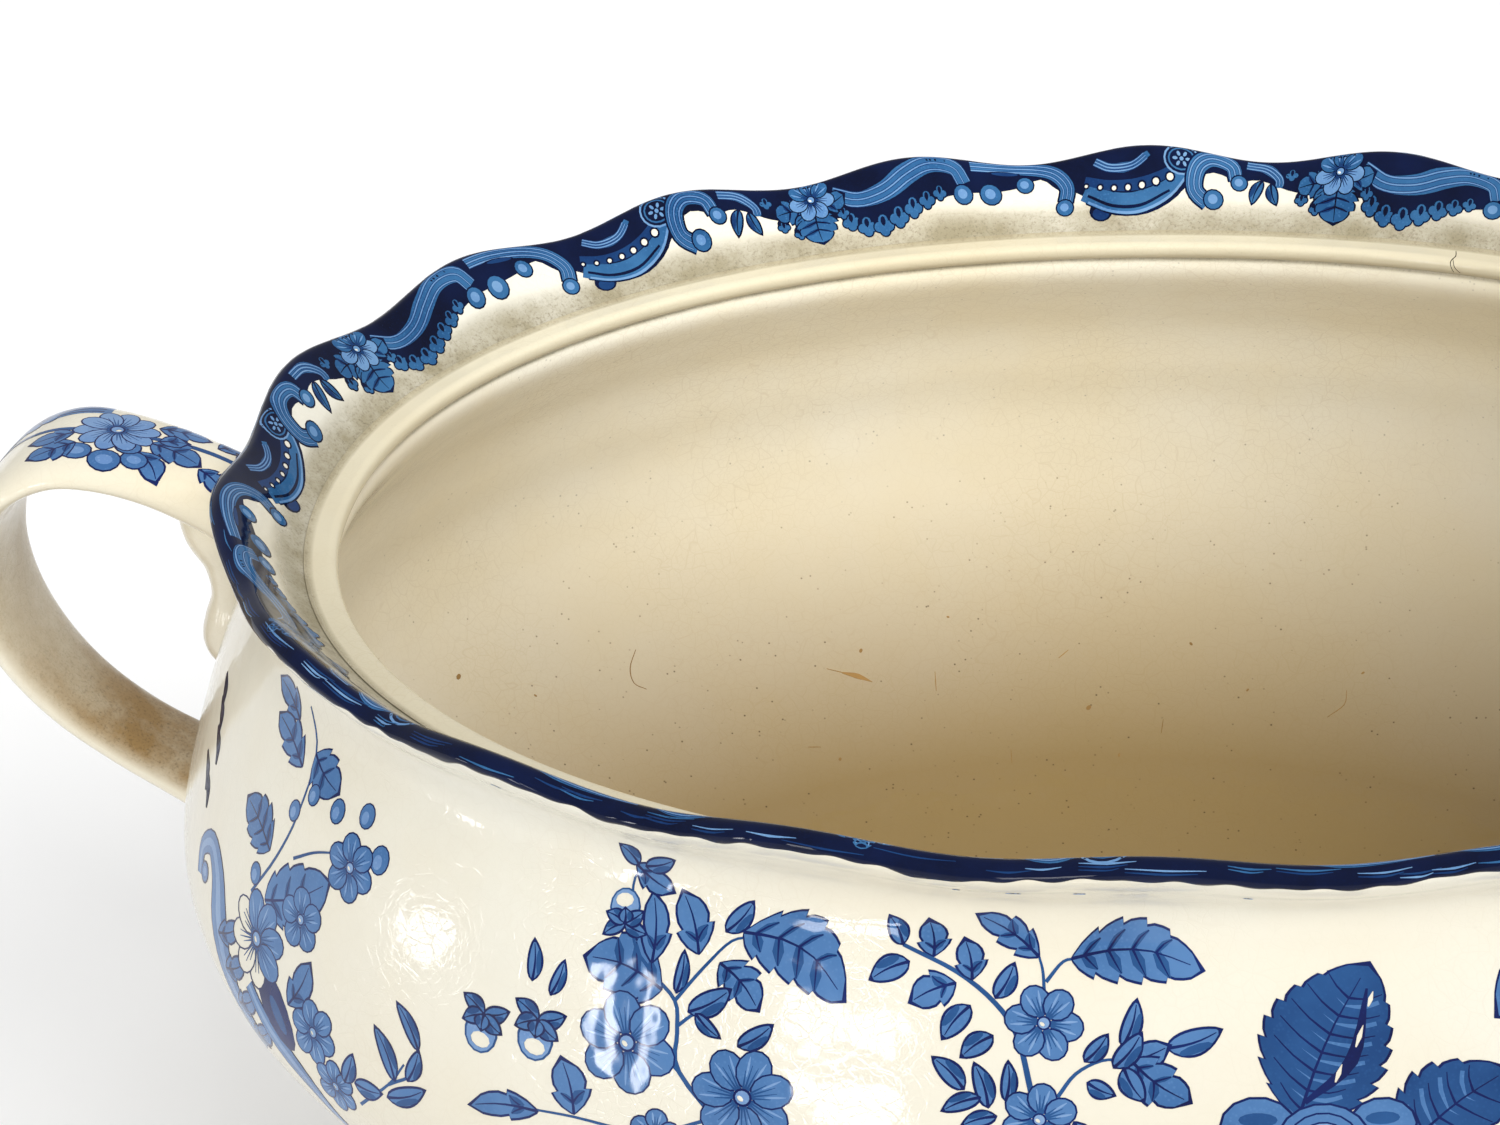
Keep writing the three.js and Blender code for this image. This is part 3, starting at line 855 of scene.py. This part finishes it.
def ribbed(points, start, end, middle):
    """A scroll of the border: a dark ribbon with a wide blue band and thin light ribs."""
    shapes = [line(NAVY, points, start + 0.7, end + 0.7, middle + 0.7, 5),
              line(MID, points, start, end, middle, 5)]
    track = smooth(points, 5)
    along = np.gradient(track, axis=0)
    side = np.stack([-along[:, 1], along[:, 0]], -1) / np.linalg.norm(along, axis=1)[:, None]
    for shift in (-0.3, 0.0, 0.3):
        rib = track + side * shift * middle
        shapes.append(line(DEEP, rib[::2], 0.44, 0.36, 0.56, 2))
        shapes.append(line(PALE, rib[::2], 0.2, 0.14, 0.26, 2))
    return shapes


def border_ground(width):
    """The dark ground of one repeat, deep where the motifs hang and shallow between them."""
    left = -9.0
    lower = [(left, 7), (-4, 8.4), (0, 9), (5, 9), (9, 10.8), (17, 10), (23, 8.6), (29, 7.4), (34, 7),
             (39, 6), (43.4, 4.4), (46.6, 7), (50, 8), (53, 10), (58, 11.4), (64, 11), (68.6, 9.4),
             (71.6, 6.8), (75.4, 4.6), (80, 5.6), (84, 5), (left + width, 7)]
    return (NAVY, np.vstack([smooth(lower, 3), [(left + width, 2), (left, 2)]]))


def border_unit():
    """One repeat of the border that hangs inside the rim, x to the right as seen from the bowl."""
    shapes = [border_ground(LAP / BORDER_UNITS)]
    for x, y, size in ((6.6, 9.6, 3.4), (9.4, 11, 3.6), (12.6, 11.2, 3.8), (15.8, 10.2, 3.6), (18.8, 9, 3.4),
                       (21.6, 8, 3), (24.2, 7, 2.6)):
        shapes += tuft(x, y, size)
    wave = [(4, 4), (8.6, 6.4), (14, 6), (18.6, 3.8), (23, 2.2), (27.4, 2.8), (29, 5.6)]
    shapes += (ribbed(wave, 2, 2.6, 4) + volute(28.6, 7.6, 3.9)
               + ribbed([(30.6, 2.2), (36, 2), (42, 2.2), (46, 3.6), (48.2, 6.6), (47.8, 9.6)],
                        1.8, 2.6, 2.6)
               + volute(33.8, 7.4, 4.4) + volute(40.4, 5.4, 3.6) + volute(47.6, 10.6, 3.6))
    shapes += [blob(NAVY, 36.4, 3.4, 7, 1.4), blob(DEEP, 36.8, 3.2, 5, 0.7)]
    shapes += (pearl_crescent() + medallion(69.4, 3)
               + ribbed([(79.6, 5.6), (78.6, 2.8), (75, 2), (72.4, 4), (72, 8), (74.6, 10.4)], 2.4, 2.6, 3.2)
               + volute(80.2, 5.9, 3.4) + volute(75.6, 9.6, 4)
               + ribbed([(81.4, 2.2), (85, 2.6), (87.4, 4.6), (87.6, 6.4)], 1.4, 1.2, 2)
               + leaves((84.4, 5, 82.8, 10, 2.2), (86, 5.6, 87.4, 10, 2.2)))
    for x, y in ((-8.6, 4.4), (-6.4, 9.4), (-3.6, 11.2), (5.4, 8.6)):
        shapes += tuft(x, y - 0.8, 2.4)
    shapes += leaves((-2, 6, -7.6, 6.8, 4.6, 3), (2, 6, 6.4, 4.6, 4, 2), (0.4, 7, -4, 10.4, 4, 2),
                     (0, 6.4, 0.2, 13.6, 7.4, 4, 0.02))
    shapes += flower(0, 4.2, 4.4, 7, 0.2, white=4, light=PALE)
    return shapes


def pearl_crescent():
    """A crescent below the medallion with a row of white pearls in it, over a stub and two bands."""
    upper = smooth([(50.6, 3.4), (55, 5.2), (60.6, 5.8), (66, 4.6), (70.4, 2.2)], 3)
    lower = smooth([(72, 4.6), (69, 9.4), (63.4, 12.4), (57, 12.6), (51.6, 10.4)], 3)
    shapes = [blob(NAVY, 54.4, 11.8, 4.4, 3.8), blob(DEEP, 54.4, 12.2, 3.2, 2.4),
              (NAVY, np.vstack([upper, lower]))]
    shapes += [line(MID, [(51.4, 8), (56, 10.2), (61.4, 10.6), (67, 8.2), (71, 3.8)], 3.4, 1.6, 3.6, 5)]
    shapes += [line(PALE, [(52, 10), (56.6, 11.9), (62, 12), (67.6, 9.4), (71.4, 4.6)], 0.4, 0.4, 0.5, 5)]
    shapes += [line(NAVY, [(52, 8.8), (56.6, 10.9), (62, 11), (67.4, 8.6)], 0.5, 0.4, 0.6, 5)]
    shapes += [line(DEEP, [(51.6, 6), (56, 7.4), (61.4, 7.6), (66.6, 5.8), (70, 3)], 1.6, 1.4, 2, 5)]
    for k in range(7):
        t = k / 6
        size = 0.6 + 0.7 * t
        x, y = 51.8 + 15.6 * t, 7 + 1.7 * math.sin(math.pi * t * 0.9) - 1.2 * t
        shapes += [blob(NAVY, x, y, size + 0.7, count=10), blob(NONE, x, y, size, count=10)]
    return shapes + ribbed([(53.6, 2.8), (56.4, 4.4), (60.4, 4.4), (63.4, 2.4)], 1, 1, 1.8)


def medallion(x, y):
    shapes = [blob(PALE, x, y, 6.6, 5.8, count=18), blob(NAVY, x, y, 5.9, 5.1, count=18)]
    shapes += [blob(MID, x, y, 5, 4.2, count=16), blob(NAVY, x, y, 4.4, 3.6, count=16)]
    for k in range(6):
        a = math.pi * k / 3
        shapes.append(blob(PALE, x + math.cos(a) * 1.2, y + math.sin(a), 1, 0.6, a, 7))
    return shapes + [blob(PALE, x, y, 0.8, count=7)]


def print_border():
    width = LAP / BORDER_UNITS
    shapes = border_unit()

    def on_slope(x, y):
        return BOWL.point(-x, -1.5 - y)

    for k in range(BORDER_UNITS):
        shift = k * width - 260
        printed(f"rim_border_{k + 1}", place(shapes, shift, 0), on_slope, 0.8, RIM_INKS)
    print_edge()
    print_flecks()


def print_edge():
    """The dark band over the rim's edge, with a ragged lower side."""
    rng = np.random.default_rng(5)
    columns = 1440
    walk = np.arange(columns) / columns * LAP
    ragged = sum(rng.uniform(0.05, 0.3) * np.sin(2 * math.pi * rng.integers(9, 140) * walk / LAP + p)
                 for p in rng.uniform(0, 6.3, 9))
    lower = 0.5 + ragged * 0.6
    upper = -4.2 + 0.3 * np.roll(ragged, 500)
    down = upper + np.linspace(0, 1, 19)[:, None] * (lower - upper)
    across = np.broadcast_to(walk, down.shape)
    top = BOWL.point(across, down)
    slope = BOWL.point(across, down + NUDGE) - BOWL.point(across, down - NUDGE)
    side = BOWL.point(across + NUDGE, down) - BOWL.point(across - NUDGE, down)
    normal = np.cross(slope, side)
    normal /= np.linalg.norm(normal, axis=-1, keepdims=True)
    outer, inner = top + normal * PRINT_LIFT * 0.7, top - normal * PRINT_SINK
    rings = np.concatenate([outer[::-1], inner])
    mesh = rings_mesh("rim_edge_surface", rings, True, (RIM_INKS[NAVY],), np.zeros(len(rings)))
    add_piece(mesh, "rim_edge_print", "printed_cream_glaze")


def print_flecks():
    """Lighter strokes over the dark band, where scrolls of the border run up to the rim."""
    rng = random.Random(11)
    shapes = []
    walk = 0.0
    while walk < LAP - 12:
        long, low = rng.uniform(4, 10), rng.uniform(-2.2, -0.5)
        for row in range(rng.choice((1, 2, 2, 3))):
            y = low + 0.42 * row
            track = [(walk, y - 0.1), (walk + long * 0.5, y + 0.1), (walk + long - row, y - 0.14)]
            colour = rng.choice((MID, DEEP, PALE, DEEP))
            shapes.append(line(colour, track, 0.08, 0.08, rng.uniform(0.18, 0.34)))
        walk += long + rng.uniform(-2, 4)
    printed("rim_flecks", shapes, BOWL.point, 2, RIM_INKS)


# ---- print on handle and foot

def handle_sheet():
    """The handle's print: x along the strap from the bowl, y across it, towards the front when above 0."""
    shapes = stem((11, 0), (20, -1), (34, 0), (52, -2), (72, 0), (94, -1), (114, 1), width=1)
    shapes += [line(MID, [(34, -8), (44, -7), (54, -3), (64, 2)], 3.4, 2.6, 4.6)]
    for shift in (-1.2, 0.0, 1.2):
        rib = [(35, -8 + shift), (44, -7 + shift), (54, -3 + shift), (63, 2 + shift)]
        shapes.append(line(NAVY, rib, 0.36, 0.2, 0.5))
    shapes += leaves((14, -2, 10, -5.4, 3, 1), (17, -3, 12.6, -6.6, 3.4, 2), (15, 3.6, 9.4, 5, 2.8, 1),
                     (18, 4, 13.4, 6.4, 3, 2), (26, -4, 18.4, -4.6, 4.4, 3), (26, 1, 18, 3.4, 5.4, 3),
                     (27, 4, 22.6, 8.6, 3.8, 2), (25, 0, 21, -1.6, 3, 1))
    for x, y, size in ((27, 6, 4.2), (31, 7.2, 5), (35.4, 6, 4.6), (28.6, 3.4, 4)):
        shapes += [blob(NAVY, x, y, size, size * 0.9), blob(MID, x, y, size - 0.5, size * 0.9 - 0.5),
                   blob(PALE, x, y, size * 0.5, size * 0.4)]
    shapes += (leaves((36, 4, 42, 7.4, 4.6, 3), (37, 1, 43, 2.6, 4, 2))
               + flower(31.4, -1, 6, 10, 0.2, white=10, light=PALE) + flower(44.6, -7.6, 3.8, 6, 0.4)
               + leaf((50, 5), (55, 8), 3.6, 2) + leaves((56, -6, 63, -8, 4.4, 3), (62, 4, 70, 7, 4.6, 3))
               + flower(72, -2, 5.4, 7, 0.1) + berry(78.6, 3, 3) + berry(80, -4, 3))
    shapes += leaves((84, 0, 92, 4, 4.6, 3), (86, -2, 94, -5, 4.4, 3), (100, 0, 108, 3.6, 4.4, 3),
                     (104, 0, 112, -3.6, 4, 2))
    return shapes


def print_handles():
    for name, side in (("left", -1), ("right", 1)):
        sheet = [(colour, np.asarray(outline) * (1, side)) for colour, outline in handle_sheet()]
        printed(f"{name}_handle_print", sheet, Path(STRAP, side).face, 1.3)


def print_foot():
    """A band and a hanging fringe round the foot's lip."""
    units = 12
    width = LAP / units
    for k in range(units):
        shapes = [(NAVY, np.vstack([smooth([(0, 27), (width / 2, 26.4), (width, 27)], 12),
                                    [(width, 33), (0, 33)]]))]
        for j in range(6):
            x = (j + 0.5) * width / 6
            shapes += [blob(NAVY, x, 26.6, 8.4, 6.4), blob(MID, x, 26.8, 7.2, 5.2),
                       blob(PALE, x, 26, 2.6, 2.2)]
        shapes += [line(PALE, [(0.4, 30.6), (width / 2, 30.4), (width - 0.4, 30.6)], 0.5, 0.5, per=12)]
        printed(f"foot_border_{k + 1}", place(shapes, k * width, 0), FOOT_FACE.point, 1.6)


# ---- marks of use and wear

FIBRES = [
    [(309, -112), (310.6, -110), (309.4, -107), (306, -104)], [(269, -118), (264.6, -120), (261, -122)],
    [(246, -126), (245, -122)], [(216, -121), (213.6, -119.4)], [(192, -137), (191.6, -134)],
    [(232, -143), (231.4, -140)], [(282, -133), (279, -133.6)], [(152, -131), (149, -128), (149.4, -125)],
]
FLECKS = [(342, -93.6, 1.4), (260, -115.6, 1.1), (210, -131.6, 1.5), (331, -104, 0.7), (186, -118, 0.9),
          (172, -127, 0.8), (239, -111, 0.7), (203, -142, 0.9), (276, -137, 1), (147, -121, 0.8)]


def print_marks():
    """Lint and grit in the bowl, a crack across the ledge, and smudged ink under the rim."""
    shapes = [line(BROWN, points, 0.14, 0.12, 0.2) for points in FIBRES]
    shapes.append(line(BROWN, [(266, -119.4), (262.6, -120.8), (260, -122.4)], 0.3, 0.1, 1.3))
    shapes += [blob(BROWN, x, y, size, size * 0.6, x, 7) for x, y, size in FLECKS]
    printed("bowl_lint", shapes, BOWL.point, 3, slot="plain_cream_glaze")
    crack = [line(BROWN, [(137.2, 0), (136.6, 1.8), (137, 3.4), (136.2, 5.2)], 0.12, 0.08, 0.18),
             line(BROWN, [(136.7, 2.8), (136, 4.2), (134.9, 5.2)], 0.1, 0.06, 0.1)]
    printed("ledge_crack", crack, LEDGE_FACE.point, 0.8, slot="plain_cream_glaze")
    smudges = [blob(PALE, x, y, w, h, 0.1, 9) for x, y, w, h in
               ((573, 4.4, 2, 0.6), (581, 4.6, 1.6, 0.5), (566, 4.4, 1, 0.5), (601, 4.8, 1.2, 0.4),
                (466, 3.2, 3, 0.9), (504, 3.6, 1.6, 0.5))]
    printed("rim_smudges", smudges, BOWL.point)


# ---- floor, lights and camera

def make_floor():
    mesh = bpy.data.meshes.new("floor")
    size = 6.0
    corners = [(-size, -size, 0), (size, -size, 0), (size, size, 0), (-size, size, 0)]
    mesh.from_pydata(corners, [], [(0, 1, 2, 3)])
    n = Nodes("floor_paper")
    n.link(n.mix(n.noise(3, 2), srgb(246, 246, 246), srgb(250, 250, 250)), n.shader.inputs["Base Color"])
    n.shader.inputs["Roughness"].default_value = 0.9
    mesh.materials.append(n.material)
    floor = bpy.data.objects.new("floor", mesh)
    bpy.context.collection.objects.link(floor)


def add_light(name, at, target, width, height, power):
    """A rectangular soft light that faces the target."""
    data = bpy.data.lights.new(name, "AREA")
    data.shape = "RECTANGLE"
    data.size, data.size_y = width, height
    data.energy = power
    light = bpy.data.objects.new(name, data)
    bpy.context.collection.objects.link(light)
    light.location = at
    light.rotation_euler = (Vector(target) - Vector(at)).to_track_quat("-Z", "Y").to_euler()
    light.visible_camera = False
    return light


def direction(azimuth, height):
    """A unit vector towards an azimuth and a height given in degrees."""
    a, h = math.radians(azimuth), math.radians(height)
    return Vector((math.cos(a) * math.cos(h), math.sin(a) * math.cos(h), math.sin(h)))


def add_panel(name, centre, azimuth, height, width, tall, power, slant=0.0):
    """A bright panel seen only in the glaze: azimuth and height in degrees from the body at centre."""
    panel = add_light(name, Vector(centre) + direction(azimuth, height), centre, width, tall, power)
    panel.rotation_euler.rotate_axis("Z", slant)
    panel.visible_diffuse = False


def add_sun(name, azimuth, height, power, spread):
    """Even light over floor and object, left out of reflections."""
    data = bpy.data.lights.new(name, "SUN")
    data.energy = power
    data.angle = math.radians(spread)
    sun = bpy.data.objects.new(name, data)
    bpy.context.collection.objects.link(sun)
    sun.rotation_euler = (-direction(azimuth, height)).to_track_quat("-Z", "Y").to_euler()
    sun.visible_glossy = False


def light_scene():
    world = bpy.context.scene.world or bpy.data.worlds.new("studio")
    bpy.context.scene.world = world
    world.use_nodes = True
    world.node_tree.nodes["Background"].inputs["Color"].default_value = (1, 1, 1, 1)
    world.node_tree.nodes["Background"].inputs["Strength"].default_value = 0.5
    add_sun("front", -100, 24, 1.25, 30)
    add_sun("right", -32, 43, 1.3, 40)
    add_sun("overhead", 60, 80, 0.7, 90)
    bowl_light = add_light("bowl_light", (0.02, -0.27, 0.46), (-0.04, 0.09, 0.1), 0.12, 0.12, 0.07)
    bowl_light.data.spread = math.radians(36)
    bowl_light.visible_glossy = False
    add_panel("panel_left", (-0.094, -0.087, 0.12), -160.5, -0.5, 0.12, 0.09, 0.3)
    add_panel("strip_one", (-0.068, -0.1, 0.119), -137, 4, 0.022, 0.24, 0.4, 0.12)
    add_panel("strip_two", (-0.068, -0.1, 0.119), -132.6, 4, 0.014, 0.24, 0.24, 0.12)
    add_panel("window", (-0.037, -0.105, 0.123), -114.5, 11.5, 0.2, 0.15, 1.0)
    add_panel("window_low", (-0.038, -0.11, 0.116), -113.5, 2.5, 0.18, 0.06, 0.5)
    bpy.context.scene.view_settings.view_transform = "Standard"


def make_camera():
    data = bpy.data.cameras.new("camera")
    data.lens = 67.2
    data.sensor_width = 36
    data.clip_start = 0.01
    camera = bpy.data.objects.new("camera", data)
    bpy.context.collection.objects.link(camera)
    yaw, pitch, roll = (math.radians(v) for v in (-8.86, 30.88, -4.14))
    turn = Matrix.Rotation(-yaw, 4, "Z") @ Matrix.Rotation(math.pi / 2 - pitch, 4, "X")
    camera.matrix_world = (Matrix.Translation((-0.0039, -0.3696, 0.2006 + RIM_Z * MM))
                           @ turn @ Matrix.Rotation(roll, 4, "Z"))
    bpy.context.scene.camera = camera


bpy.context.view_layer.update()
make_camera()
make_floor()
light_scene()
make_bowl()
make_ledge()
make_foot()
for handle_side, sign in (("left", -1), ("right", 1)):
    make_handle(f"{handle_side}_handle", sign)
    make_lug(f"{handle_side}_handle_scroll", sign)
print_body()
print_border()
print_handles()
print_foot()
print_marks()
